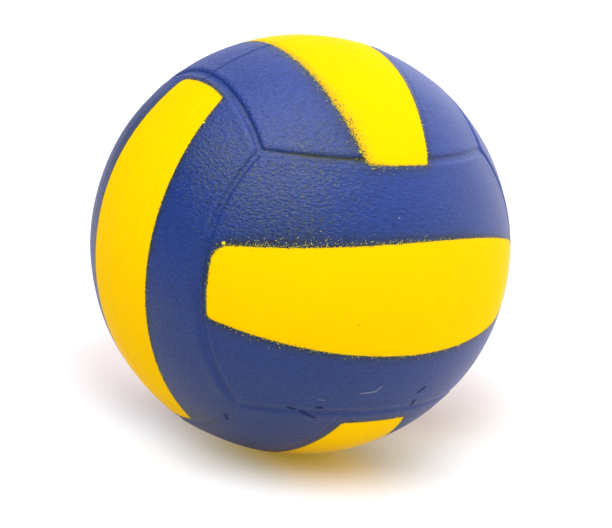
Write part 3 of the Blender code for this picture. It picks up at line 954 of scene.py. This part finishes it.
# Floor
# White card with a satin face, laid level under the ball and far out on all sides.
# It shows white to the camera wherever the ball doesn't shade it.
def white_card():
    """White card with a satin face: bright and even, with a soft reflection of what stands on it.

    The card gives off a faint light as well, even for the ball's shine. To the camera that light holds a
    painted shadow, weaker in a round patch behind the ball, and a painted warm bounce from the stripes round
    its base.
    """
    fibre = 0.002
    # Each painted patch, the warm bounce and the shadow: its middle, the radius inside which it is full, and
    # the radius where it is gone
    painted_bounce_patch = ((0.011, -0.015, REST_LEVEL), 0.012, 0.091)
    painted_shadow_patch = ((0.061, 0.112, REST_LEVEL), 0.097, 0.165)
    material, tree, place = new_material("satin_white_card")
    fibres = add_node(tree, "TexNoise", inputs={"Vector": place, "Scale": 1 / fibre, "Detail": 2})
    rays = add_node(tree, "LightPath").node.outputs
    seen = rays["Is Camera Ray"]
    for kind in ("Is Glossy Ray", "Is Transmission Ray"):
        seen = add_node(tree, "Math", {"operation": "MAXIMUM"}, {0: seen, 1: rays[kind]})
    white = add_node(tree, "Mix", COLOURS, {0: fibres, 6: "#B1AEB1", 7: "#B5B2B5"})
    white = add_node(tree, "Mix", COLOURS, {0: rays["Is Camera Ray"], 6: "#DDD8DC", 7: white})
    colour = add_node(tree, "Mix", COLOURS, {0: seen, 6: "#EAE4AE", 7: white})
    shader = add_node(
        tree, "BsdfPrincipled", inputs={"Base Color": colour, "Roughness": 0.45, "Specular IOR Level": 0.1}
    )
    beyond_painted_patches = []
    for middle, full, gone in (painted_bounce_patch, painted_shadow_patch):
        distance = add_node(tree, "VectorMath", {"operation": "DISTANCE"}, {0: place, 1: middle})
        past = {"Value": distance, "From Min": full, "From Max": gone}
        beyond_painted_patches.append(add_node(tree, "MapRange", {"interpolation_type": "SMOOTHSTEP"}, past))
    # Painted shadow: to the camera the card's light is darker in the patch behind the ball
    glow_and_painted_shade = add_node(tree, "Mix", COLOURS, {0: beyond_painted_patches[1], 6: "#85736E", 7: "#CBCBCA"})
    glow_and_painted_shade = add_node(tree, "Mix", COLOURS, {0: rays["Is Camera Ray"], 6: "#9B918C", 7: glow_and_painted_shade})
    # Painted warm bounce: the card's light turns yellow round the ball's base, as if thrown by the stripes
    glow_and_painted_shade = add_node(tree, "Mix", COLOURS, {0: beyond_painted_patches[0], 6: "#907400", 7: glow_and_painted_shade})
    glow_with_painted_shade = add_node(tree, "Emission", inputs={"Color": glow_and_painted_shade, "Strength": seen})
    both = add_node(tree, "AddShader", inputs={0: shader, 1: glow_with_painted_shade})
    add_node(tree, "OutputMaterial", inputs={"Surface": both})
    return material


FLOOR_SIZE = 8.0
floor_corners = np.array([(-1, -1, 0), (1, -1, 0), (1, 1, 0), (-1, 1, 0)]) * FLOOR_SIZE / 2
floor_mesh = bpy.data.meshes.new("floor")
floor_mesh.from_pydata(floor_corners + (0, 0, REST_LEVEL), [], [(0, 1, 2, 3)])
floor_mesh.materials.append(white_card())
floor = bpy.data.objects.new("floor", floor_mesh)
bpy.context.scene.collection.objects.link(floor)


# Light
# A white tent all round, brightest to the ball's right. The ball's shine mirrors a side of it higher up.
# A broad soft lamp hangs above the ball, a little to the left and in front.
# Each side: the way to its brightest place, the cosine at which it turns dark, its brightness and its fall
LIT_SIDE = ((0.901, -0.184, -0.392), -0.436, 2.26, "LINEAR")
MIRRORED_SIDE = ((0.691, -0.145, 0.708), -0.417, 2.3, "SMOOTHSTEP")
world = bpy.data.worlds.new("white_tent")
bpy.context.scene.world = world
world.use_nodes = True
tent = world.node_tree
tent.nodes.clear()
direction = add_node(tent, "TexCoord").node.outputs["Generated"]
sides = []
for way, dark, bright, fall in (LIT_SIDE, MIRRORED_SIDE):
    towards = add_node(tent, "VectorMath", {"operation": "DOT_PRODUCT"}, {0: direction, 1: way})
    ramp = {"Value": towards, "From Min": dark, "To Max": bright}
    sides.append(add_node(tent, "MapRange", {"interpolation_type": fall}, ramp))
rays = add_node(tent, "LightPath").node.outputs
shiny = add_node(
    tent, "Math", {"operation": "MAXIMUM"}, {0: rays["Is Glossy Ray"], 1: rays["Is Transmission Ray"]}
)
strength = add_node(tent, "Mix", inputs={0: shiny, 2: sides[0], 3: sides[1]})
strength = add_node(tent, "Mix", inputs={0: rays["Is Camera Ray"], 2: strength, 3: 1.0})
background = add_node(tent, "Background", inputs={"Color": "#FFFFFF", "Strength": strength})
add_node(tent, "OutputWorld", inputs={"Surface": background})

LAMP_STRENGTH = 1.26 * np.pi
LAMP_SPREAD = np.radians(60)
LAMP_WAY = (-0.404, -0.186, 0.896)
lamp_light = bpy.data.lights.new("soft_overhead", "SUN")
lamp_light.energy = LAMP_STRENGTH
lamp_light.angle = LAMP_SPREAD
lamp = bpy.data.objects.new("soft_overhead", lamp_light)
lamp.rotation_mode = "QUATERNION"
lamp.rotation_quaternion = Vector(LAMP_WAY).to_track_quat("Z", "Y")
bpy.context.scene.collection.objects.link(lamp)


# Camera
# A long lens at the photograph's angle, leaning a little to one side.
AZIMUTH = np.radians(-30.2)
ELEVATION = np.radians(13.3)
ROLL = np.radians(5.5)
DISTANCE = 10 * BALL_RADIUS
AIM_RIGHT = 0.00296
AIM_DOWN = 0.00988
LENS_LENGTH = 123.2
NEAREST, FARTHEST = 0.05, 50
back = np.array(
    (np.sin(AZIMUTH) * np.cos(ELEVATION), -np.cos(AZIMUTH) * np.cos(ELEVATION), np.sin(ELEVATION))
)
level_right = np.array((np.cos(AZIMUTH), np.sin(AZIMUTH), 0))
level_up = np.cross(back, level_right)
right = np.cos(ROLL) * level_right + np.sin(ROLL) * level_up
up = np.cross(back, right)
stand = AIM_RIGHT * right - AIM_DOWN * up + DISTANCE * back
lens = bpy.data.cameras.new("camera")
lens.lens = LENS_LENGTH
lens.clip_start = NEAREST
lens.clip_end = FARTHEST
camera = bpy.data.objects.new("camera", lens)
camera.matrix_world = Matrix(np.column_stack([right, up, back, stand]).tolist() + [[0, 0, 0, 1]])
bpy.context.scene.collection.objects.link(camera)
bpy.context.scene.camera = camera

bpy.context.scene.view_settings.view_transform = "Standard"
